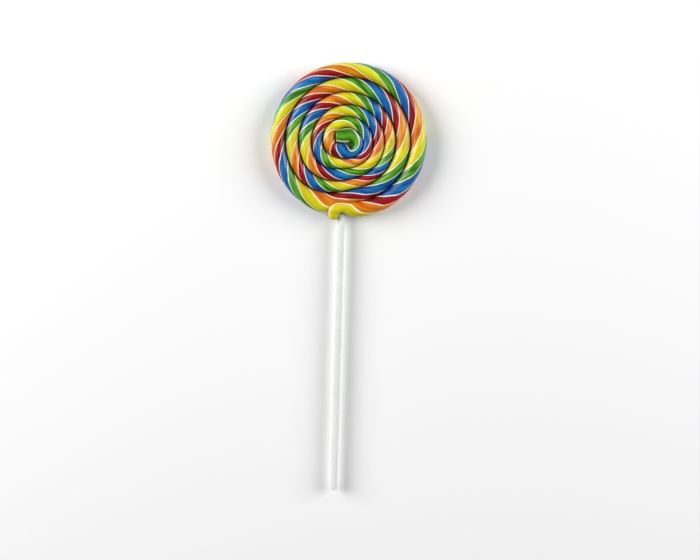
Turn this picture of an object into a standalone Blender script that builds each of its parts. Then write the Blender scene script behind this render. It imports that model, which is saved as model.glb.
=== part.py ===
"""A swirl lollipop lying on its back.

A twisted rope of boiled sugar is coiled into a disc and pressed until its turns fuse. A rolled paper stick is
pushed into the edge of the disc, and the tapered end of the rope is folded over it.

Metres, +Z out of the front of the head, +Y from the stick to the top of the head. The origin is the middle of
the flat spot at the back of the head, on which the lollipop rests.
"""

import math

import bmesh
import bpy
from mathutils import Vector

MM = 0.001

# The stick, parallel to Y
STICK_RADIUS = 2.2 * MM
STICK_LENGTH = 178.0 * MM
STICK_TOP = -15.3 * MM  # its inner end, well inside the head
STICK_X = -2.9 * MM  # it was pushed in a little to the left of the middle
STICK_Z = 5.6 * MM
STICK_ROUNDING = 0.3 * MM
STICK_SIDES = 32
STICK_GAP = 0.3 * MM  # between the stick and the hole that it sits in
HOLE_LENGTH = 52.0 * MM  # the cutter's, long enough to run out below the folded end of the rope

# The coil. Seen from the front the rope runs outward clockwise. Angles are clockwise from the top, in degrees,
# and go on growing from turn to turn. Each turn climbs on to the next at the bottom, beside the stick. The coil
# as a whole sits turned a little on its stick.
# The turns, from the inmost: how far the outer edge lies from the middle, and how far off the middle the turn as
# a whole lies, and towards what angle
TURNS = (
    (8.3 * MM, 1.4 * MM, 215.0),
    (13.7 * MM, 0.8 * MM, 220.0),
    (19.5 * MM, 0.3 * MM, 215.0),
    (25.9 * MM, 0.8 * MM, 275.0),
    (33.5 * MM, 0.4 * MM, 315.0),
    (41.9 * MM, 0.2 * MM, 145.0),
)
CLIMBS = ((232.0, 93.0), (210.0, 60.0), (200.0, 86.0), (202.0, 62.0), (191.0, 30.0))  # angle and how far round
COIL_TURN = math.radians(1.6)
COIL_START = 306.0
COIL_END = 1957.0
KNOT_SPACING = 5.2 * MM  # along the rope

# The rope's section. Its neighbours squeeze it narrow and tall, the front stays round, and the back is pressed
# flat with round corners.
INNER_HEIGHT = 12.2 * MM
OUTER_HEIGHT = 10.9 * MM
BACK_CORNER = 0.34  # the radius of the corners at the back, as a share of the width
FRONT_STEPS = 6
CORNER_STEPS = 2
SIDE_GAP = 0.01  # neighbouring turns are this share of their width apart, which the web fills

# The rope's blunt inner end, hooked round a small pit: x, y and width, from the end outward
HOOK = (
    (-6.0 * MM, 2.7 * MM, 6.8 * MM),
    (-2.6 * MM, 2.9 * MM, 8.2 * MM),
    (0.9 * MM, 3.0 * MM, 8.0 * MM),
    (4.2 * MM, 1.4 * MM, 6.7 * MM),
    (5.4 * MM, -1.8 * MM, 5.2 * MM),
    (3.9 * MM, -5.1 * MM, 5.3 * MM),
    (0.7 * MM, -6.5 * MM, 5.8 * MM),
    (-3.2 * MM, -5.4 * MM, 8.4 * MM),
    (-7.2 * MM, -4.7 * MM, 7.8 * MM),
    (-9.7 * MM, -2.5 * MM, 6.8 * MM),
    (-10.4 * MM, 0.7 * MM, 6.5 * MM),
    (-10.1 * MM, 3.7 * MM, 6.2 * MM),
)
# The rope's thin outer end, folded over the front of the stick: x, y, middle z, width and height
TAIL = (
    (9.2 * MM, -36.3 * MM, 5.6 * MM, 8.6 * MM, 10.8 * MM),
    (3.5 * MM, -36.9 * MM, 6.0 * MM, 8.6 * MM, 10.6 * MM),
    (-0.3 * MM, -36.3 * MM, 7.0 * MM, 7.3 * MM, 8.8 * MM),
    (-3.2 * MM, -35.6 * MM, 8.3 * MM, 6.2 * MM, 7.0 * MM),
    (-5.9 * MM, -35.9 * MM, 8.8 * MM, 6.8 * MM, 6.4 * MM),
    (-7.8 * MM, -37.4 * MM, 8.7 * MM, 7.0 * MM, 6.1 * MM),
    (-8.2 * MM, -39.7 * MM, 8.2 * MM, 6.4 * MM, 5.4 * MM),
)
TIP_LENGTH = 2.8 * MM
TIP_RINGS = 3
TIP_TURN = math.radians(82.0)  # how far round its dome the tip closes before the last small face

# The fused middle of the disc, which the grooves between the turns don't cut through
WEB_RADIUS = 35.0 * MM
WEB_BACK = 2.0 * MM
WEB_FRONT = 9.0 * MM
WEB_SIDES = 72
SPOT_RADIUS = 5.0 * MM  # the flat spot at the middle of the back
SPOT_SIDES = 24

SHARP_OVER = math.radians(50.0)  # edges turning by more than this stay sharp


def smooth_step(share):
    share = min(max(share, 0.0), 1.0)
    return share * share * (3.0 - 2.0 * share)


def between(ends, share):
    return ends[0] + (ends[1] - ends[0]) * share


def turn_edge(turn, angle):
    """The outer edge of one turn, as if it ran on without climbing."""
    radius, off_middle, towards = TURNS[turn]
    return radius + off_middle * math.cos(math.radians(angle - towards))


def edge_radius(angle):
    """From the middle of the coil to the outer edge of the rope."""
    radius = turn_edge(0, angle)
    for turn, (middle, span) in enumerate(CLIMBS):
        climbed = smooth_step((angle - 360.0 * turn - middle) / span + 0.5)
        radius += climbed * (turn_edge(turn + 1, angle) - turn_edge(turn, angle))
    return radius


def mid_radius(angle):
    return (edge_radius(angle - 360.0) + edge_radius(angle)) / 2


def rope_height(radius):
    return between((INNER_HEIGHT, OUTER_HEIGHT), smooth_step(radius / WEB_RADIUS))


def knot(x, y, width, height=None, middle=None):
    """One station of the rope as a list: x, y and z of its middle, width and height."""
    if height is None:
        height = rope_height(math.hypot(x, y))
    if middle is None:
        middle = height / 2
    return [x, y, middle, width, height]


def coil_knot(angle):
    """A station between two edges. Where the rope climbs it runs slanting, narrower than they are apart."""
    radius = mid_radius(angle)
    slant = (mid_radius(angle + 1.0) - mid_radius(angle - 1.0)) / math.radians(2.0) / radius
    width = (edge_radius(angle) - edge_radius(angle - 360.0)) / math.hypot(1.0, slant)
    turned = math.radians(angle)
    return knot(radius * math.sin(turned), radius * math.cos(turned), width)


def rope_knots():
    """The rope from its blunt inner end to the start of its tip."""
    knots = [knot(*values) for values in HOOK]
    angle = COIL_START
    while angle < COIL_END:
        knots.append(coil_knot(angle))
        angle += math.degrees(KNOT_SPACING / mid_radius(angle))
    knots += [knot(x, y, width, height, middle) for x, y, middle, width, height in TAIL]
    return knots


def smoothed(knots):
    """The knots with a Catmull-Rom point between each two."""
    stations = []
    for index in range(len(knots) - 1):
        before = knots[max(index - 1, 0)]
        here = knots[index]
        ahead = knots[index + 1]
        beyond = knots[min(index + 2, len(knots) - 1)]
        halfway = [(9.0 * (b + c) - a - d) / 16.0 for a, b, c, d in zip(before, here, ahead, beyond)]
        stations += [here, halfway]
    stations.append(knots[-1])
    return stations


def with_round_tip(stations):
    """Closes the thin end with rings that shrink like a dome."""
    end = stations[-1]
    heading = Vector((end[0] - stations[-2][0], end[1] - stations[-2][1])).normalized()
    rings = []
    for index in range(1, TIP_RINGS + 1):
        turned = TIP_TURN * index / TIP_RINGS
        reach = TIP_LENGTH * math.sin(turned)
        size = math.cos(turned)
        rings.append(
            [end[0] + heading.x * reach, end[1] + heading.y * reach, end[2], end[3] * size, end[4] * size]
        )
    return stations + rings


def arc(across, up, radius, first, last, steps):
    """Points round part of a circle, from the first angle to the last in degrees."""
    turns = [math.radians(first + (last - first) * index / steps) for index in range(steps + 1)]
    return [(across + radius * math.cos(turned), up + radius * math.sin(turned)) for turned in turns]


def rope_section(width, height):
    """Points across and up round the rope's section, over the front from its outer side and back under."""
    front = width / 2
    corner = BACK_CORNER * width
    inset = width / 2 - corner
    low = corner - height / 2
    return (
        arc(0.0, height / 2 - front, front, 0.0, 180.0, FRONT_STEPS)
        + arc(-inset, low, corner, 180.0, 270.0, CORNER_STEPS)
        + arc(inset, low, corner, 270.0, 360.0, CORNER_STEPS)
    )


def rope_mesh(stations):
    """A loft through the stations: the section changes all along it, which no sweep of one profile makes."""
    shape = bmesh.new()
    rings = []
    for index, (x, y, middle, width, height) in enumerate(stations):
        behind = stations[max(index - 1, 0)]
        ahead = stations[min(index + 1, len(stations) - 1)]
        heading = Vector((ahead[0] - behind[0], ahead[1] - behind[1])).normalized()
        outward = Vector((-heading.y, heading.x))
        ring = []
        for across, up in rope_section(width * (1.0 - SIDE_GAP), height):
            place = Vector((x, y)) + outward * across
            ring.append(shape.verts.new((place.x, place.y, max(middle + up, 0.0))))
        rings.append(ring)
    for first, second in zip(rings, rings[1:]):
        for side in range(len(first)):
            after = (side + 1) % len(first)
            shape.faces.new((first[side], first[after], second[after], second[side]))
    shape.faces.new(rings[0])
    shape.faces.new(reversed(rings[-1]))
    bmesh.ops.recalc_face_normals(shape, faces=shape.faces)
    mesh = bpy.data.meshes.new("candy")
    shape.to_mesh(mesh)
    shape.free()
    return mesh


def cylinder(name, radius, length, sides):
    """A cylinder along Z, centred on its origin."""
    shape = bmesh.new()
    bmesh.ops.create_cone(
        shape, cap_ends=True, segments=sides, radius1=radius, radius2=radius, depth=length
    )
    mesh = bpy.data.meshes.new(name)
    shape.to_mesh(mesh)
    shape.free()
    return bpy.data.objects.new(name, mesh)


def finish(name, color, roughness):
    material = bpy.data.materials.new(name)
    material.use_nodes = True
    surface = material.node_tree.nodes["Principled BSDF"]
    surface.inputs["Base Color"].default_value = (*color, 1.0)
    surface.inputs["Roughness"].default_value = roughness
    surface.inputs["Metallic"].default_value = 0.0
    return material


def shade_round(obj):
    obj.data.shade_smooth()
    obj.data.set_sharp_from_angle(angle=SHARP_OVER)


def as_guide(obj, collection):
    obj.hide_render = True
    obj.display_type = "WIRE"
    collection.objects.link(obj)
    return obj


def add_boolean(obj, operation, other):
    cut = obj.modifiers.new(f"{operation.lower()} {other.name}", "BOOLEAN")
    cut.operation = operation
    cut.solver = "EXACT"
    cut.use_self = operation == "UNION"
    cut.object = other


def make_web(guides):
    web = as_guide(cylinder("web", WEB_RADIUS, WEB_FRONT - WEB_BACK, WEB_SIDES), guides)
    web.location.z = (WEB_FRONT + WEB_BACK) / 2
    return web


def make_rest_spot(guides):
    spot = as_guide(cylinder("rest_spot", SPOT_RADIUS, WEB_FRONT / 2, SPOT_SIDES), guides)
    spot.location.z = WEB_FRONT / 4
    return spot


def make_stick_hole(guides):
    """A cutter that starts just past the stick's inner end and runs out beyond the folded end of the rope."""
    hole = as_guide(cylinder("stick_hole", STICK_RADIUS + STICK_GAP, HOLE_LENGTH, STICK_SIDES), guides)
    hole.rotation_euler.x = math.radians(90.0)
    hole.location = (STICK_X, STICK_TOP + STICK_GAP - HOLE_LENGTH / 2, STICK_Z)
    return hole


def make_candy(parts, guides):
    mesh = rope_mesh(with_round_tip(smoothed(rope_knots())))
    candy = bpy.data.objects.new("candy", mesh)
    candy.rotation_euler.z = COIL_TURN
    parts.objects.link(candy)
    add_boolean(candy, "UNION", make_web(guides))
    add_boolean(candy, "UNION", make_rest_spot(guides))
    add_boolean(candy, "DIFFERENCE", make_stick_hole(guides))
    mesh.materials.append(finish("boiled sugar", (0.80, 0.62, 0.03), 0.15))
    shade_round(candy)
    return candy


def make_stick(parts):
    stick = cylinder("stick", STICK_RADIUS, STICK_LENGTH, STICK_SIDES)
    stick.rotation_euler.x = math.radians(90.0)
    stick.location = (STICK_X, STICK_TOP - STICK_LENGTH / 2, STICK_Z)
    parts.objects.link(stick)
    rounding = stick.modifiers.new("rounded ends", "BEVEL")
    rounding.width = STICK_ROUNDING
    rounding.segments = 2
    rounding.limit_method = "ANGLE"
    rounding.angle_limit = SHARP_OVER
    stick.data.materials.append(finish("rolled paper", (0.86, 0.87, 0.83), 0.45))
    shade_round(stick)
    return stick


def clear_scene():
    for obj in list(bpy.data.objects):
        bpy.data.objects.remove(obj, do_unlink=True)


def new_collection(name):
    collection = bpy.data.collections.new(name)
    bpy.context.scene.collection.children.link(collection)
    return collection


clear_scene()
lollipop = new_collection("swirl lollipop")
cutters = new_collection("cutters")
make_candy(lollipop, cutters)
make_stick(lollipop)
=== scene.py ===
import math

import bmesh
import bpy
import numpy as np
from mathutils import Matrix, Vector


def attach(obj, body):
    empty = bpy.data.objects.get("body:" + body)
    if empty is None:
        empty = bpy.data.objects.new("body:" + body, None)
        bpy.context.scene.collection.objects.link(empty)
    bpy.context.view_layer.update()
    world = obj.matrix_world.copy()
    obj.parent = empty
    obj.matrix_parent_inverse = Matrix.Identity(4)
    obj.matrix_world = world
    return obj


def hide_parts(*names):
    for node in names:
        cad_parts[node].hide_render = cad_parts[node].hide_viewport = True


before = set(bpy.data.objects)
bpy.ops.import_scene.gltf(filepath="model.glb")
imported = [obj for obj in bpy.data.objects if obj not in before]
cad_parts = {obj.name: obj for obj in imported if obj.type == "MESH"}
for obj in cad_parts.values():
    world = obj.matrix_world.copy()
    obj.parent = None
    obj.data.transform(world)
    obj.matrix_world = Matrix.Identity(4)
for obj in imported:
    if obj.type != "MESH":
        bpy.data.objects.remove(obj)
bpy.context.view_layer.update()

# ---------------------------------------------------------------------------------------------------------
# The head. Five strips of boiled sugar, with a thin white one between each two, are rolled into a rope and
# twisted while warm. The rope is coiled outward from its hooked blunt end, pressed flat on a table until the
# turns fuse, and its drawn-out end is folded over the stick.
# ---------------------------------------------------------------------------------------------------------
MM = 0.001

# The coil, seen from the front: clockwise outward, with angles in degrees clockwise from the top that go on
# growing from turn to turn. Each turn climbs on to the next at the bottom, beside the stick.
# The turns, from the inmost: how far the outer edge lies from the middle, and how far off the middle the turn as
# a whole lies, and towards what angle
TURNS = (
    (8.3 * MM, 1.4 * MM, 215.0),
    (13.7 * MM, 0.8 * MM, 220.0),
    (19.5 * MM, 0.3 * MM, 215.0),
    (25.9 * MM, 0.8 * MM, 275.0),
    (33.5 * MM, 0.4 * MM, 315.0),
    (41.9 * MM, 0.2 * MM, 145.0),
)
CLIMBS = ((232.0, 93.0), (210.0, 60.0), (200.0, 86.0), (202.0, 62.0), (191.0, 30.0))  # angle and how far round
COIL_TURN = math.radians(1.6)
COIL_START = 306.0
COIL_END = 1957.0
KNOT_SPACING = 5.2 * MM
INNER_HEIGHT = 12.2 * MM
OUTER_HEIGHT = 10.9 * MM
HEIGHT_SETTLES_AT = 35.0 * MM

# The blunt end hooked round the pit: x, y and width. The thin end: x, y, middle z, width and height.
HOOK = (
    (-6.0 * MM, 2.7 * MM, 6.8 * MM),
    (-2.6 * MM, 2.9 * MM, 8.2 * MM),
    (0.9 * MM, 3.0 * MM, 8.0 * MM),
    (4.2 * MM, 1.4 * MM, 6.7 * MM),
    (5.4 * MM, -1.8 * MM, 5.2 * MM),
    (3.9 * MM, -5.1 * MM, 5.3 * MM),
    (0.7 * MM, -6.5 * MM, 5.8 * MM),
    (-3.2 * MM, -5.4 * MM, 8.4 * MM),
    (-7.2 * MM, -4.7 * MM, 7.8 * MM),
    (-9.7 * MM, -2.5 * MM, 6.8 * MM),
    (-10.4 * MM, 0.7 * MM, 6.5 * MM),
    (-10.1 * MM, 3.7 * MM, 6.2 * MM),
)
TAIL = (
    (9.2 * MM, -36.3 * MM, 5.6 * MM, 8.6 * MM, 10.8 * MM),
    (3.5 * MM, -36.9 * MM, 6.0 * MM, 8.6 * MM, 10.6 * MM),
    (-0.3 * MM, -36.3 * MM, 7.0 * MM, 7.3 * MM, 8.8 * MM),
    (-3.2 * MM, -35.6 * MM, 8.3 * MM, 6.2 * MM, 7.0 * MM),
    (-5.9 * MM, -35.9 * MM, 8.8 * MM, 6.8 * MM, 6.4 * MM),
    (-7.8 * MM, -37.4 * MM, 8.7 * MM, 7.0 * MM, 6.1 * MM),
    (-8.2 * MM, -39.7 * MM, 8.2 * MM, 6.4 * MM, 5.4 * MM),
)

# The strips: their shares of the way round the rope, and where the twist brings them to its top. Twists are
# counted from the blunt end, and a whole number is the middle of the yellow strip.
STRIP_SHARES = (0.220, 0.187, 0.220, 0.167, 0.206)  # yellow, green, blue, red and orange
FIRST_TWISTS = (
    (-72.0, 0.195),
    (20.0, 0.20),
    (53.0, 0.235),
    (96.0, 0.28),
    (141.0, 0.32),
    (177.0, 0.365),
    (217.0, 0.45),
    (240.0, 0.58),
    (259.0, 0.73),
    (283.0, 0.83),
    (307.0, 0.92),
    (322.0, 1.02),
    (353.0, 1.08),
    (394.0, 1.22),
    (439.0, 1.41),
    (495.0, 1.60),
    (528.0, 1.79),
)
YELLOW_ANGLES = (
    (560.0, 712.5, 856.0, 982.0, 1086.5, 1175.5, 1268.5)
    + (1349.5, 1436.5, 1543.5, 1654.0, 1733.5, 1816.0, 1897.0)
)
LAST_TWISTS = (
    (1957.0, 15.71),
    (1968.0, 15.84),
    (1974.0, 15.90),
    (1980.0, 15.955),
    (1986.0, 15.96),
    (1993.0, 15.965),
)

# The section. How much of the way round shows in front, by the angle, and how the hidden rest is shared out.
FRONT_SHARES = (
    (-72.0, 0.30),
    (20.0, 0.29),
    (96.0, 0.28),
    (177.0, 0.34),
    (283.0, 0.29),
    (322.0, 0.30),
    (353.0, 0.36),
    (450.0, 0.42),
    (1200.0, 0.43),
    (1500.0, 0.50),
    (1700.0, 0.54),
    (1890.0, 0.54),
    (1957.0, 0.41),
    (1968.0, 0.38),
    (1974.0, 0.33),
    (1980.0, 0.29),
    (1986.0, 0.27),
)
WALL_SHARE = 0.05
CORNER_PART = 0.385
BACK_CORNER = 0.34
FRONT_SPREAD = 1.04
TURN_GAP = 0.006
FREE_SQUARENESS = 2.4
STRIP_SWELL = 0.3 * MM
RIM_SWELL = 1.2  # how much more the strips swell at the rim, where nothing pressed them flat
LINE_WIDTH = 0.018  # of the white lines, as a share of the way round
STRIP_POINTS = 11
STATIONS_PER_KNOT = 6
TIP_LENGTH = 2.8 * MM
BLUNT_ROUNDING = 0.9 * MM
PRINT_ROWS = 5


def smooth_step(share):
    share = np.clip(share, 0.0, 1.0)
    return share * share * (3.0 - 2.0 * share)


def between(first, last, share):
    return first + (last - first) * share


def turn_edge(turn, angle):
    """The outer edge of one turn, as if it ran on without climbing."""
    radius, off_middle, towards = TURNS[turn]
    return radius + off_middle * math.cos(math.radians(angle - towards))


def edge_radius(angle):
    """From the middle of the coil to the outer edge of the rope."""
    radius = turn_edge(0, angle)
    for turn, (middle, span) in enumerate(CLIMBS):
        climbed = smooth_step((angle - 360.0 * turn - middle) / span + 0.5)
        radius += climbed * (turn_edge(turn + 1, angle) - turn_edge(turn, angle))
    return radius


def mid_radius(angle):
    return (edge_radius(angle - 360.0) + edge_radius(angle)) / 2


def rope_height(radius):
    return between(INNER_HEIGHT, OUTER_HEIGHT, float(smooth_step(radius / HEIGHT_SETTLES_AT)))


def coil_knot(angle):
    """x, y, middle z, width across the rope and height. Where the rope climbs it runs slanting, so it's narrower."""
    radius = mid_radius(angle)
    slant = (mid_radius(angle + 1.0) - mid_radius(angle - 1.0)) / math.radians(2.0) / radius
    width = (edge_radius(angle) - edge_radius(angle - 360.0)) / math.hypot(1.0, slant)
    height = rope_height(radius)
    turned = math.radians(angle)
    return (radius * math.sin(turned), radius * math.cos(turned), height / 2, width, height)


def rope_knots():
    knots = []
    for x, y, width in HOOK:
        height = rope_height(math.hypot(x, y))
        knots.append((x, y, height / 2, width, height))
    angle = COIL_START
    while angle < COIL_END:
        knots.append(coil_knot(angle))
        angle += math.degrees(KNOT_SPACING / mid_radius(angle))
    return np.array(knots + list(TAIL))


def smoothed(knots, steps):
    """Catmull-Rom stations, so many to each knot."""
    before = np.vstack([knots[:1], knots[:-2]])
    here, ahead = knots[:-1], knots[1:]
    beyond = np.vstack([knots[2:], knots[-1:]])
    stations = []
    for t in np.arange(steps) / steps:
        stations.append(
            0.5
            * (
                2.0 * here
                + (ahead - before) * t
                + (2.0 * before - 5.0 * here + 4.0 * ahead - beyond) * t**2
                + (3.0 * here - before - 3.0 * ahead + beyond) * t**3
            )
        )
    inner = np.stack(stations, axis=1).reshape(-1, knots.shape[1])
    return np.vstack([inner, knots[-1:]])


def steady_curve(marks, values, places):
    """A smooth curve through the marked values that never turns back between two of them."""
    marks, values = np.array(marks, float), np.array(values, float)
    rises = np.diff(values) / np.diff(marks)
    slopes = np.zeros(len(marks))
    slopes[1:-1] = np.where(
        rises[:-1] * rises[1:] > 0.0,
        2.0 * rises[:-1] * rises[1:] / np.maximum(rises[:-1] + rises[1:], 1e-12),
        0.0,
    )
    slopes[0], slopes[-1] = rises[0], rises[-1]
    spot = np.clip(np.searchsorted(marks, places) - 1, 0, len(rises) - 1)
    step = np.diff(marks)[spot]
    t = np.clip((places - marks[spot]) / step, 0.0, 1.0)
    return (
        (2 * t**3 - 3 * t**2 + 1) * values[spot]
        + (t**3 - 2 * t**2 + t) * step * slopes[spot]
        + (3 * t**2 - 2 * t**3) * values[spot + 1]
        + (t**3 - t**2) * step * slopes[spot + 1]
    )


def pressed_section(share, width, height, front_share):
    """Across and up on the section between two neighbours: round in front, flat at the sides and the back."""
    corner_share = CORNER_PART * (1.0 - front_share - 2.0 * WALL_SHARE)
    wall_end = front_share + WALL_SHARE
    corner_end = wall_end + corner_share
    back_middle = (1.0 + front_share) / 2
    corner = BACK_CORNER * width
    half = width / 2
    round_front = FRONT_SPREAD * half
    level = height / 2 - round_front  # of the middle of the front's round
    low = corner - height / 2
    mirrored = share > back_middle  # the outer side's wall, corner and half of the back
    way = np.where(mirrored, 1.0 + front_share - share, share)
    turned = math.pi * way / front_share
    across = np.clip(round_front * np.cos(turned), -half, half)
    up = level + round_front * np.sin(turned)
    on_wall = way > front_share
    across = np.where(on_wall, -half, across)
    up = np.where(on_wall, between(level, low, (way - front_share) / WALL_SHARE), up)
    bend = (way - wall_end) / corner_share * math.pi / 2
    on_corner = way > wall_end
    across = np.where(on_corner, corner - half - corner * np.cos(bend), across)
    up = np.where(on_corner, low - corner * np.sin(bend), up)
    reach = (way - corner_end) / (back_middle - corner_end)
    on_back = way > corner_end
    across = np.where(on_back, between(corner - half, 0.0, reach), across)
    up = np.where(on_back, -height / 2, up)
    return np.where(mirrored, -across, across), up


def free_section(share, width, height, front_share):
    """The same for a rope with no neighbour: rounded all round, a little squarer than an ellipse."""
    behind = math.pi * (1.0 + (share - front_share) / (1.0 - front_share))
    turned = np.where(share < front_share, math.pi * share / front_share, behind)
    power = 2.0 / FREE_SQUARENESS
    across = width / 2 * np.sign(np.cos(turned)) * np.abs(np.cos(turned)) ** power
    up = height / 2 * np.sign(np.sin(turned)) * np.abs(np.sin(turned)) ** power
    return across, up


def section(share, width, height, front_share, free_outside, free_inside):
    share = share % 1.0
    pressed_across, pressed_up = pressed_section(share, width, height, front_share)
    free_across, free_up = free_section(share, width, height, front_share)
    free = np.where(pressed_across > 0.0, free_outside, free_inside)
    return between(pressed_across, free_across, free), between(pressed_up, free_up, free)


def strip_borders():
    """How far round the rope each strip ends, starting from the middle of the yellow one."""
    return np.cumsum(STRIP_SHARES) - STRIP_SHARES[0] / 2


def strip_places():
    """Points round the rope in strips: one narrow face for each white line, the rest shared over the strip."""
    ends = strip_borders()
    starts = np.concatenate([[ends[-1] - 1.0], ends[:-1]])
    edge = LINE_WIDTH / 2
    places = [np.linspace(start + edge, end - edge, STRIP_POINTS) for start, end in zip(starts, ends)]
    return np.concatenate(places)


def strip_swell(places):
    """How far each point lies below the middle of its strip's swell."""
    ends = strip_borders()
    starts = np.concatenate([[ends[-1] - 1.0], ends[:-1]])
    strip = np.searchsorted(ends, places)
    off_middle = 2.0 * (places - starts[strip]) / (ends - starts)[strip] - 1.0
    return STRIP_SWELL * np.abs(off_middle) ** 2.4


def rope_grid():
    """Points of the rope in rings that follow the twist, where they lie round it, how far along the rope each ring
    is, and how near each point is to a neighbouring turn: 0 in the middle of the rope and 1 against the wall."""
    rope = smoothed(rope_knots(), STATIONS_PER_KNOT)
    x, y, middle, width, height = rope.T
    width = width * (1.0 - TURN_GAP)
    heading = np.gradient(rope[:, :2], axis=0)
    heading /= np.linalg.norm(heading, axis=1)[:, None]
    along = np.concatenate([[0.0], np.cumsum(np.hypot(np.diff(x), np.diff(y)))])
    angle = np.degrees(np.unwrap(np.arctan2(x, y)))
    marks = list(FIRST_TWISTS) + [(yellow, 2.0 + twist) for twist, yellow in enumerate(YELLOW_ANGLES)]
    marks += list(LAST_TWISTS)
    at_angles = [np.interp(mark[0], angle, along) for mark in marks]
    twist = steady_curve(at_angles, [mark[1] for mark in marks], along)

    # the blunt start and the tip close in rings that shrink
    rings = [(index, 0.0, 1.0) for index in range(len(rope))]
    blunt = [(0, -BLUNT_ROUNDING * reach, size) for reach, size in ((1.06, 0.0), (1.04, 0.35), (1.0, 0.62))]
    for step in (3, 2, 1):
        bend = math.radians(90.0 * step / 4)
        blunt.append((0, -BLUNT_ROUNDING * math.sin(bend), 1.0 - 0.26 * (1.0 - math.cos(bend))))
    tip = []
    for step in range(1, 10):
        bend = math.radians(90.0 * step / 9)
        tip.append((len(rope) - 1, TIP_LENGTH * math.sin(bend), math.cos(bend)))
    rings = blunt + rings + tip
    source = np.array([ring[0] for ring in rings])
    reach = np.array([ring[1] for ring in rings])
    size = np.array([ring[2] for ring in rings])

    places = strip_places()
    front_share = np.interp(angle, *zip(*FRONT_SHARES))[source][:, None]
    share = front_share / 2 + twist[source][:, None] - places[None, :]
    free_outside = smooth_step((angle - COIL_END + 362.0) / 20.0)[source][:, None]
    free_inside = smooth_step((angle - COIL_END) / 16.0)[source][:, None]
    shape = (width[source][:, None], height[source][:, None], front_share, free_outside, free_inside)
    across, up = section(share, *shape)
    more_across, more_up = section(share + 0.002, *shape)
    less_across, less_up = section(share - 0.002, *shape)
    run = np.stack([more_across - less_across, more_up - less_up], axis=-1)
    run /= np.maximum(np.linalg.norm(run, axis=-1, keepdims=True), 1e-9)
    half = width[source][:, None] / 2
    freedom = np.where(across > 0.0, free_outside, free_inside)
    wall = np.abs(run[..., 1]) ** 3 * (1.0 - freedom)
    wall_nearness = np.abs(across) / half * (1.0 - freedom)
    on_rim = smooth_step(across / half) * free_outside
    inward = strip_swell(places)[None, :] * (1.0 - wall) * (1.0 + RIM_SWELL * on_rim)
    across = across - inward * run[..., 1]
    up = up + inward * run[..., 0]

    outward = np.stack([-heading[:, 1], heading[:, 0]], axis=1)[source]
    centre = rope[source, :2] + heading[source] * reach[:, None]
    flat = centre[:, None, :] + outward[:, None, :] * (across * size[:, None])[..., None]
    upright = np.maximum(middle[source][:, None] + up * size[:, None], 0.0)
    points = np.concatenate([flat, upright[..., None]], axis=-1)
    walked = np.linalg.norm(np.diff(points, axis=0), axis=-1).max(axis=1)
    return points, places, np.concatenate([[0.0], np.cumsum(walked)]), wall_nearness


def rope_mesh(points, places, along, wall_nearness):
    """The rings joined by four-sided faces. The first and the last ring are one point each, and end in a fan."""
    rings, count = points.shape[:2]
    inner = points[1:-1].reshape(-1, 3)
    first, last = len(inner), len(inner) + 1
    ring = np.arange(rings - 3)[:, None] * count
    here = np.arange(count)[None, :]
    after = (here + 1) % count
    quads = np.stack([ring + here, ring + count + here, ring + count + after, ring + after], axis=-1)
    end = (rings - 3) * count
    fans = [(first, side, (side + 1) % count) for side in range(count)]
    fans += [(end + side, last, end + (side + 1) % count) for side in range(count)]
    mesh = bpy.data.meshes.new("candy")
    mesh.from_pydata(
        np.vstack([inner, points[0, 0], points[-1, 0]]).tolist(), [], quads.reshape(-1, 4).tolist() + fans
    )

    nearness = np.append(wall_nearness[1:-1].reshape(-1), [0.0, 0.0])
    mesh.attributes.new("wall_nearness", "FLOAT", "POINT").data.foreach_set("value", nearness.astype(np.float32))

    # where the corners of each face lie: the share of the way round, and along the rope
    u = np.append(places, places[0] + 1.0)
    left, right = u[here + np.zeros_like(ring)], u[here + 1 + np.zeros_like(ring)]
    near = np.broadcast_to(along[1:-2, None], left.shape)
    far = np.broadcast_to(along[2:-1, None], left.shape)
    corners = np.stack(
        [np.stack([left, near], -1), np.stack([left, far], -1), np.stack([right, far], -1), np.stack([right, near], -1)],
        axis=2,
    )
    start_fan = [((u[side] + u[side + 1]) / 2, along[0], u[side], along[1], u[side + 1], along[1]) for side in range(count)]
    tip_fan = [
        (u[side], along[-2], (u[side] + u[side + 1]) / 2, along[-1], u[side + 1], along[-2]) for side in range(count)
    ]
    ways = np.concatenate([corners.reshape(-1, 2), np.array(start_fan + tip_fan).reshape(-1, 2)])
    mesh.uv_layers.new(name="Rope").uv.foreach_set("vector", ways.reshape(-1).astype(np.float32))

    # for printing the colours on: the rope cut into lengths that lie side by side
    middles = np.concatenate([(near + far).reshape(-1).repeat(4), np.repeat(along[:1] + along[1:2], 3 * count)])
    middles = np.concatenate([middles, np.repeat(along[-2:-1] + along[-1:], 3 * count)]) / 2
    breaks = along[np.searchsorted(along, np.linspace(along[0], along[-1], PRINT_ROWS + 1))[:-1]]
    row = np.searchsorted(breaks, middles, side="right") - 1
    row_length = (along[-1] - along[0]) / PRINT_ROWS * 1.04
    across = (ways[:, 1] - breaks[row]) / row_length
    up = (row + 0.02 + 0.96 * (ways[:, 0] - u[0])) / PRINT_ROWS
    printed = np.stack([0.01 + 0.96 * across, up], axis=-1)
    mesh.uv_layers.new(name="OFBake").uv.foreach_set("vector", printed.reshape(-1).astype(np.float32))
    mesh.shade_smooth()
    return mesh


def add(tree, kind, inputs=None, **settings):
    """A shader node with its settings and its inputs: numbers are set, sockets are linked."""
    node = tree.nodes.new(kind)
    for name, value in settings.items():
        setattr(node, name, value)
    for name, value in (inputs or {}).items():
        if isinstance(value, bpy.types.NodeSocket):
            tree.links.new(value, node.inputs[name])
        else:
            node.inputs[name].default_value = value
    return node


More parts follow.
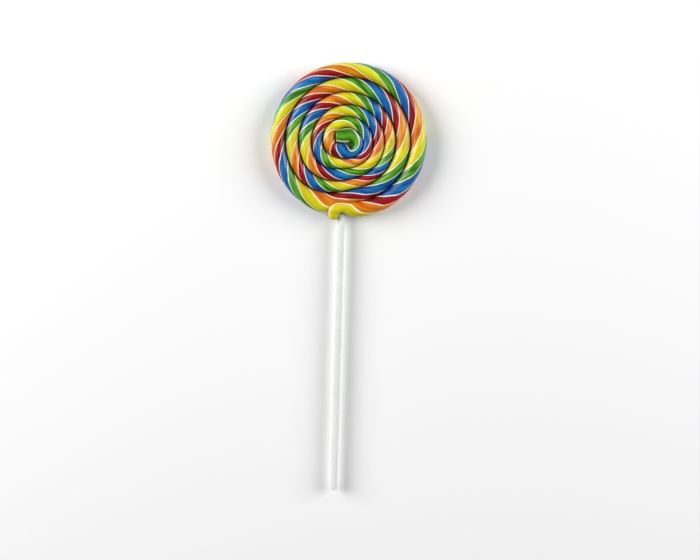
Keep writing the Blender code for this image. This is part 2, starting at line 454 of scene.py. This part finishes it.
def linear(red, green, blue):
    """A colour as seen on a screen, 0 to 255, turned into the light that it stands for."""
    shades = []
    for level in (red, green, blue):
        level /= 255.0
        shades.append(level / 12.92 if level <= 0.04045 else ((level + 0.055) / 1.055) ** 2.4)
    return (*shades, 1.0)


# Each strip's colour in a deep and a bright tone. They are partly the sugar's own random change from thick and deep
# to clear and bright, and partly painted light: a lit copy and a shaded copy of each colour
SUGAR_COLOURS = (
    (linear(190, 175, 0), linear(216, 211, 16)),  # yellow
    (linear(28, 106, 4), linear(102, 174, 32)),  # green
    (linear(2, 56, 134), linear(10, 124, 184)),  # blue
    (linear(110, 0, 6), linear(170, 6, 26)),  # red
    (linear(192, 88, 0), linear(224, 150, 2)),  # orange
)
LINE_COLOUR = linear(246, 238, 216)
LINE_SOFTNESS = 0.003
THICK_LINE_WIDTH = 0.030
THICK_LINE_END = 13.0 * MM  # along the rope


def strip_colours(tree, way_round, tone):
    """The five colours round the rope with the white lines between them, in the first or the second tone."""
    strips = add(tree, "ShaderNodeValToRGB", {0: way_round})
    stops = strips.color_ramp.elements
    stops[0].position, stops[0].color = 0.0, SUGAR_COLOURS[0][tone]
    stops[1].position, stops[1].color = 1.0, SUGAR_COLOURS[0][tone]
    for strip, border in enumerate(strip_borders()):
        after = SUGAR_COLOURS[(strip + 1) % len(SUGAR_COLOURS)]
        for offset, shade in (
            (-LINE_WIDTH / 2 - LINE_SOFTNESS, SUGAR_COLOURS[strip][tone]),
            (-LINE_WIDTH / 2 + LINE_SOFTNESS, LINE_COLOUR),
            (LINE_WIDTH / 2 - LINE_SOFTNESS, LINE_COLOUR),
            (LINE_WIDTH / 2 + LINE_SOFTNESS, after[tone]),
        ):
            stops.new(border + offset).color = shade
    return strips.outputs[0]


def sugar_material():
    sugar = bpy.data.materials.new("twisted boiled sugar")
    sugar.use_nodes = True
    tree = sugar.node_tree
    surface = tree.nodes["Principled BSDF"]
    rope = add(tree, "ShaderNodeUVMap", uv_map="Rope")
    ways = add(tree, "ShaderNodeSeparateXYZ", {0: rope.outputs[0]})
    round_way, along_way = ways.outputs[0], ways.outputs[1]

    # a point that runs round a circle as the strips do, and on along the rope, so that nothing shows a seam
    turned = add(tree, "ShaderNodeMath", {0: round_way, 1: 2.0 * math.pi}, operation="MULTIPLY")
    cosine = add(tree, "ShaderNodeMath", {0: turned.outputs[0]}, operation="COSINE")
    sine = add(tree, "ShaderNodeMath", {0: turned.outputs[0]}, operation="SINE")

    def along_strips(round_scale, along_scale, detail, roughness=0.5):
        """Noise drawn out along the strips."""
        stretched = add(tree, "ShaderNodeMath", {0: along_way, 1: along_scale / round_scale}, operation="MULTIPLY")
        place = add(
            tree,
            "ShaderNodeCombineXYZ",
            {0: cosine.outputs[0], 1: sine.outputs[0], 2: stretched.outputs[0]},
        )
        return add(
            tree,
            "ShaderNodeTexNoise",
            {"Vector": place.outputs[0], "Scale": round_scale, "Detail": detail, "Roughness": roughness},
        ).outputs[0]

    wander = add(tree, "ShaderNodeMapRange", {0: along_strips(3.0, 60.0, 2.0), 3: -0.006, 4: 0.006})
    drawn = add(tree, "ShaderNodeMath", {0: round_way, 1: wander.outputs[0]}, operation="ADD")
    wrapped = add(tree, "ShaderNodeMath", {0: drawn.outputs[0], 1: 1.0, 2: 0.0}, operation="WRAP")
    deep = strip_colours(tree, wrapped.outputs[0], 0)
    bright = strip_colours(tree, wrapped.outputs[0], 1)

    # painted light: each strip runs from its bright tone on the crest of the rope to its deep tone towards the
    # grooves between the turns, and is darkened strongly against the walls where the turns meet, as painted shade;
    # random clear and deep patches and streaks run along each strip on top of that
    near_wall = add(tree, "ShaderNodeAttribute", attribute_name="wall_nearness").outputs["Fac"]
    # painted shade: towards the walls the mix is pulled over to the deep tone
    painted_shade_to_walls = add(tree, "ShaderNodeMapRange", {0: near_wall, 1: 0.3, 2: 0.95, 3: 0.0, 4: -0.45})
    clearness = add(tree, "ShaderNodeMapRange", {0: along_strips(2.4, 60.0, 1.0), 1: 0.3, 2: 0.7})
    # the mix is the sugar's random clearness plus that painted shade
    clearness_and_painted_light = add(tree, "ShaderNodeMath", {0: painted_shade_to_walls.outputs[0], 1: clearness.outputs[0]}, operation="ADD")
    clearness_and_painted_light.use_clamp = True
    tones = add(tree, "ShaderNodeMix", data_type="RGBA")
    tree.links.new(clearness_and_painted_light.outputs[0], tones.inputs["Factor"])
    tree.links.new(deep, tones.inputs[6])
    tree.links.new(bright, tones.inputs[7])

    streaks = along_strips(26.0, 260.0, 3.0)
    streak_tone = add(tree, "ShaderNodeMapRange", {0: streaks, 1: 0.3, 2: 0.7, 3: 0.95, 4: 1.05})
    # painted shade: the colour is darkened strongly where the rope presses against a neighbouring turn
    painted_groove_shade = add(tree, "ShaderNodeMapRange", {0: near_wall, 1: 0.82, 2: 1.0, 3: 1.0, 4: 0.18})
    value = add(tree, "ShaderNodeMath", {0: streak_tone.outputs[0], 1: painted_groove_shade.outputs[0]}, operation="MULTIPLY")
    toned = add(
        tree,
        "ShaderNodeHueSaturation",
        {"Color": tones.outputs[2], "Value": value.outputs[0]},
    )

    # at the blunt end the line between yellow and green was squeezed out thick
    off_line = add(tree, "ShaderNodeMath", {0: wrapped.outputs[0], 1: -strip_borders()[0]}, operation="ADD")
    distance = add(tree, "ShaderNodeMath", {0: off_line.outputs[0]}, operation="ABSOLUTE")
    across_line = add(
        tree,
        "ShaderNodeMapRange",
        {0: distance.outputs[0], 1: 0.5 * THICK_LINE_WIDTH, 2: 0.8 * THICK_LINE_WIDTH, 3: 1.0, 4: 0.0},
    )
    near_end = add(
        tree, "ShaderNodeMapRange", {0: along_way, 1: THICK_LINE_END, 2: 1.2 * THICK_LINE_END, 3: 1.0, 4: 0.0}
    )
    thick = add(
        tree, "ShaderNodeMath", {0: across_line.outputs[0], 1: near_end.outputs[0]}, operation="MULTIPLY"
    )
    lined = add(tree, "ShaderNodeMix", data_type="RGBA")
    tree.links.new(thick.outputs[0], lined.inputs["Factor"])
    tree.links.new(toned.outputs[0], lined.inputs[6])
    lined.inputs[7].default_value = LINE_COLOUR
    tree.links.new(lined.outputs[2], surface.inputs["Base Color"])

    sheen_streaks = along_strips(40.0, 300.0, 4.0)
    gloss = add(tree, "ShaderNodeMapRange", {0: sheen_streaks, 1: 0.3, 2: 0.7, 3: 0.28, 4: 0.40})
    tree.links.new(gloss.outputs[0], surface.inputs["Roughness"])
    relief = add(
        tree,
        "ShaderNodeBump",
        {"Height": sheen_streaks, "Strength": 0.25, "Distance": 0.15 * MM},
    )
    tree.links.new(relief.outputs[0], surface.inputs["Normal"])
    surface.inputs["IOR"].default_value = 1.45
    surface.inputs["Subsurface Weight"].default_value = 0.1
    surface.inputs["Subsurface Radius"].default_value = (1.0, 0.7, 0.4)
    surface.inputs["Subsurface Scale"].default_value = 1.2 * MM
    surface.inputs["Coat Weight"].default_value = 0.1
    surface.inputs["Coat Roughness"].default_value = 0.25
    return sugar


candy = bpy.data.objects.new("candy_rope", rope_mesh(*rope_grid()))
bpy.context.scene.collection.objects.link(candy)
candy.data.transform(Matrix.Rotation(COIL_TURN, 4, "Z"))
candy.data.materials.append(sugar_material())
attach(candy, "root")
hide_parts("candy")

# ---------------------------------------------------------------------------------------------------------
# The sugar in the pit at the middle. Where the rope hooks round on itself the soft sugar is squeezed up
# between the turns, and fills the pit to a few millimetres below the front.
# ---------------------------------------------------------------------------------------------------------
FILL_MIDDLE = (-1.6 * MM, -1.2 * MM)
FILL_RADIUS = 8.6 * MM
FILL_TOP = 8.6 * MM
FILL_DEPTH = 4.0 * MM
FILL_LUMP = 0.5 * MM
FILL_RINGS = 26
FILL_SIDES = 96


def fill_mesh():
    """A lumpy round patch with an edge that turns down and a smaller flat underside."""
    verts, faces = [(FILL_MIDDLE[0], FILL_MIDDLE[1], FILL_TOP)], []
    for ring in range(1, FILL_RINGS + 1):
        share = ring / FILL_RINGS
        for side in range(FILL_SIDES):
            turned = 2.0 * math.pi * side / FILL_SIDES
            reach = FILL_RADIUS * math.sin(share * math.pi / 2) * (1.0 + 0.03 * math.sin(3.0 * turned))
            x, y = FILL_MIDDLE[0] + reach * math.sin(turned), FILL_MIDDLE[1] + reach * math.cos(turned)
            lump = FILL_LUMP * math.sin(x / (0.9 * MM) + 1.0) * math.sin(y / (1.1 * MM)) * math.sin(share * math.pi)
            verts.append((x, y, FILL_TOP + lump - FILL_DEPTH * (1.0 - math.cos(share * math.pi / 2))))
    for side in range(FILL_SIDES):
        faces.append((0, 1 + (side + 1) % FILL_SIDES, 1 + side))
    for ring in range(FILL_RINGS - 1):
        for side in range(FILL_SIDES):
            inner, after = 1 + ring * FILL_SIDES, (side + 1) % FILL_SIDES
            outer = inner + FILL_SIDES
            faces.append((inner + side, inner + after, outer + after, outer + side))
    faces.append(tuple(1 + (FILL_RINGS - 1) * FILL_SIDES + side for side in range(FILL_SIDES)))
    mesh = bpy.data.meshes.new("candy_fill")
    mesh.from_pydata(verts, [], faces)
    mesh.shade_smooth()
    return mesh


def fill_material():
    """Strips smeared into each other: mostly green, as the strip that lies round the pit is."""
    fused = bpy.data.materials.new("sugar squeezed into the pit")
    fused.use_nodes = True
    tree = fused.node_tree
    surface = tree.nodes["Principled BSDF"]
    spot = add(tree, "ShaderNodeTexCoord")
    smear = add(
        tree,
        "ShaderNodeTexNoise",
        {"Vector": spot.outputs["Object"], "Scale": 260.0, "Detail": 3.0, "Distortion": 0.8},
    )
    tones = add(tree, "ShaderNodeValToRGB", {0: smear.outputs[0]})
    stops = tones.color_ramp.elements
    stops[0].position, stops[0].color = 0.30, linear(24, 78, 20)
    stops[1].position, stops[1].color = 0.72, linear(70, 104, 26)
    stops.new(0.5).color = linear(46, 112, 18)
    tree.links.new(tones.outputs[0], surface.inputs["Base Color"])
    gloss = add(tree, "ShaderNodeMapRange", {0: smear.outputs[0], 1: 0.3, 2: 0.7, 3: 0.3, 4: 0.5})
    tree.links.new(gloss.outputs[0], surface.inputs["Roughness"])
    surface.inputs["IOR"].default_value = 1.5
    return fused


candy_fill = bpy.data.objects.new("candy_fill", fill_mesh())
bpy.context.scene.collection.objects.link(candy_fill)
candy_fill.data.transform(Matrix.Rotation(COIL_TURN, 4, "Z"))
candy_fill.data.materials.append(fill_material())
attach(candy_fill, "root")
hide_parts("candy")

# ---------------------------------------------------------------------------------------------------------
# The stick. A strip of white paper rolled tight round itself, so that its edge runs down the side as a low
# step and its end shows the roll. It is pushed into the edge of the head while the sugar is soft.
# ---------------------------------------------------------------------------------------------------------
STICK_AXIS = (-2.9 * MM, 5.6 * MM)  # x and z
STICK_TOP, STICK_FOOT = -15.4 * MM, -193.3 * MM
STICK_RADIUS = 2.17 * MM
STICK_SIDES = 72
PAPER_THICK = 0.06 * MM  # the step at the paper's edge
STEP_ANGLE = math.radians(236.0)
STEP_SLANT = math.radians(34.0)  # how far round the edge wanders from end to end
STICK_EVENNESS = 0.025 * MM
STICK_STATIONS = 90
END_ROUNDING = 0.28 * MM
ROLL_LAYERS = 5  # layers of paper that show at the end
ROLL_GROOVE = 0.07 * MM
PIN_HOLE = 0.25 * MM
PIN_HOLE_DEPTH = 1.6 * MM
END_RINGS = 40
SAME_PLACE = 0.002 * MM


def stick_rings():
    """Distances along the stick and inward from its side, from the hole in one end to the hole in the other."""
    roll = []
    for ring in range(END_RINGS + 1):
        inwards = between(END_ROUNDING, STICK_RADIUS - PIN_HOLE, ring / END_RINGS)
        roll.append((0.0, inwards))
    hole = [(0.35 * PIN_HOLE_DEPTH, STICK_RADIUS - PIN_HOLE), (PIN_HOLE_DEPTH, STICK_RADIUS - 0.8 * PIN_HOLE)]
    round_edge = []
    for step in range(1, 6):
        bend = math.radians(90.0 * step / 6)
        round_edge.append((END_ROUNDING * (1.0 - math.cos(bend)), END_ROUNDING * (1.0 - math.sin(bend))))
    length = STICK_TOP - STICK_FOOT
    end = hole[::-1] + roll[::-1] + round_edge
    side = [(along, 0.0) for along in np.linspace(END_ROUNDING, length - END_ROUNDING, STICK_STATIONS)]
    return end + side + [(length - along, inwards) for along, inwards in end[::-1]]


def stick_mesh():
    length = STICK_TOP - STICK_FOOT
    rings = stick_rings()
    verts = []
    for along, inwards in rings:
        for side in range(STICK_SIDES + 1):
            turned = side / STICK_SIDES  # from the paper's edge all the way round to it
            slanted = STEP_ANGLE + STEP_SLANT * along / length
            facing = slanted + 2.0 * math.pi * turned
            radius = STICK_RADIUS - inwards
            if inwards < STICK_RADIUS - 1.1 * PIN_HOLE:
                radius += PAPER_THICK * (turned - 0.5) * radius / STICK_RADIUS
            if inwards < END_ROUNDING:
                radius += STICK_EVENNESS * math.sin(along / (9.0 * MM)) * math.sin(facing + along / (23.0 * MM))
            end = min(along, length - along)
            depth = 0.0
            if end < 0.5 * END_ROUNDING and inwards >= END_ROUNDING:
                layer = (STICK_RADIUS - radius) / (STICK_RADIUS - PIN_HOLE) * ROLL_LAYERS + turned
                depth = ROLL_GROOVE * (1.0 - abs(math.sin(math.pi * layer))) ** 3
            reach = along + depth if along < length / 2 else along - depth
            verts.append(
                (
                    STICK_AXIS[0] + radius * math.cos(facing),
                    STICK_FOOT + reach,
                    STICK_AXIS[1] + radius * math.sin(facing),
                )
            )
    faces, row = [], STICK_SIDES + 1
    for ring in range(len(rings) - 1):
        for side in range(STICK_SIDES):
            here = ring * row + side
            faces.append((here, here + row, here + row + 1, here + 1))
        # the step itself, from the paper's outer edge down to the layer below
        here = ring * row
        faces.append((here + STICK_SIDES, here + STICK_SIDES + row, here + row, here))
    for ring in (0, len(rings) - 1):
        bottom = [ring * row + side for side in range(STICK_SIDES)]
        faces.append(tuple(bottom if ring == 0 else bottom[::-1]))
    mesh = bpy.data.meshes.new("stick")
    mesh.from_pydata(verts, [], faces)

    # in the pin hole the step runs out to nothing, and its two edges become one
    shape = bmesh.new()
    shape.from_mesh(mesh)
    bmesh.ops.remove_doubles(shape, verts=shape.verts, dist=SAME_PLACE)
    shape.to_mesh(mesh)
    shape.free()
    mesh.shade_smooth()
    mesh.set_sharp_from_angle(angle=math.radians(40.0))
    return mesh


def paper_material():
    """Uncoated white paper with a faint cool tone and short fibres along the roll."""
    paper = bpy.data.materials.new("rolled white paper")
    paper.use_nodes = True
    tree = paper.node_tree
    surface = tree.nodes["Principled BSDF"]
    spot = add(tree, "ShaderNodeTexCoord")
    drawn = add(tree, "ShaderNodeMapping", {"Vector": spot.outputs["Object"], "Scale": (1.0, 0.12, 1.0)})
    fibres = add(
        tree,
        "ShaderNodeTexNoise",
        {"Vector": drawn.outputs[0], "Scale": 2600.0, "Detail": 4.0, "Roughness": 0.6},
    )
    clouds = add(tree, "ShaderNodeTexNoise", {"Vector": spot.outputs["Object"], "Scale": 90.0, "Detail": 2.0})
    both = add(
        tree, "ShaderNodeMath", {0: clouds.outputs[0], 1: 0.6, 2: fibres.outputs[0]}, operation="MULTIPLY_ADD"
    )
    tones = add(tree, "ShaderNodeValToRGB", {0: both.outputs[0]})
    stops = tones.color_ramp.elements
    stops[0].position, stops[0].color = 0.45, linear(207, 211, 205)
    stops[1].position, stops[1].color = 1.0, linear(226, 229, 224)
    tree.links.new(tones.outputs[0], surface.inputs["Base Color"])
    dulling = add(tree, "ShaderNodeMapRange", {0: fibres.outputs[0], 1: 0.3, 2: 0.7, 3: 0.42, 4: 0.60})
    tree.links.new(dulling.outputs[0], surface.inputs["Roughness"])
    nap = add(tree, "ShaderNodeBump", {"Height": fibres.outputs[0], "Strength": 0.3, "Distance": 0.04 * MM})
    tree.links.new(nap.outputs[0], surface.inputs["Normal"])
    surface.inputs["IOR"].default_value = 1.45
    return paper


paper_stick = bpy.data.objects.new("paper_stick", stick_mesh())
bpy.context.scene.collection.objects.link(paper_stick)
paper_stick.data.materials.append(paper_material())
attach(paper_stick, "root")
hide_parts("stick")

# ---------------------------------------------------------------------------------------------------------
# The table that the lollipop lies on, the lights and the camera.
# ---------------------------------------------------------------------------------------------------------
table_mesh = bpy.data.meshes.new("table")
TABLE_REACH = 3.0
table_mesh.from_pydata(
    [(x * TABLE_REACH, y * TABLE_REACH, 0.0) for x, y in ((-1, -1), (1, -1), (1, 1), (-1, 1))], [], [(0, 1, 2, 3)]
)
table = bpy.data.objects.new("table", table_mesh)
bpy.context.scene.collection.objects.link(table)
laminate = bpy.data.materials.new("white laminate")
laminate.use_nodes = True
laminate.node_tree.nodes["Principled BSDF"].inputs["Base Color"].default_value = (0.85, 0.85, 0.85, 1.0)
laminate.node_tree.nodes["Principled BSDF"].inputs["Roughness"].default_value = 0.6
table_mesh.materials.append(laminate)


def soft_light(name, place, target, size, power):
    lamp = bpy.data.lights.new(name, "AREA")
    lamp.shape = "DISK"
    lamp.size = size
    lamp.energy = power
    light = bpy.data.objects.new(name, lamp)
    bpy.context.scene.collection.objects.link(light)
    light.location = place
    light.rotation_euler = (Vector(target) - Vector(place)).to_track_quat("-Z", "Y").to_euler()


soft_light("left light", (-1.25, 0.38, 0.86), (0.0, 0.0, 0.0), 1.10, 30.0)
soft_light("right light", (1.25, 0.38, 0.82), (0.0, 0.0, 0.0), 1.10, 23.0)
world = bpy.data.worlds.new("soft room light")
world.use_nodes = True
world.node_tree.nodes["Background"].inputs["Color"].default_value = (1.0, 1.0, 1.0, 1.0)
world.node_tree.nodes["Background"].inputs["Strength"].default_value = 0.10
bpy.context.scene.world = world
bpy.context.scene.view_settings.view_transform = "Standard"

LENS = 82.0
AIM = Vector((0.8 * MM, -75.4 * MM, 8.0 * MM))
LOOK_DOWN = math.radians(8.5)
CAMERA_AWAY = 0.865
camera_data = bpy.data.cameras.new("camera")
camera_data.lens = LENS
camera_data.sensor_width = 36.0
camera = bpy.data.objects.new("camera", camera_data)
bpy.context.scene.collection.objects.link(camera)
camera.matrix_world = (
    Matrix.Rotation(COIL_TURN, 4, "Z")
    @ Matrix.Translation(AIM)
    @ Matrix.Rotation(-LOOK_DOWN, 4, "X")
    @ Matrix.Translation((0.0, 0.0, CAMERA_AWAY))
)
bpy.context.scene.camera = camera
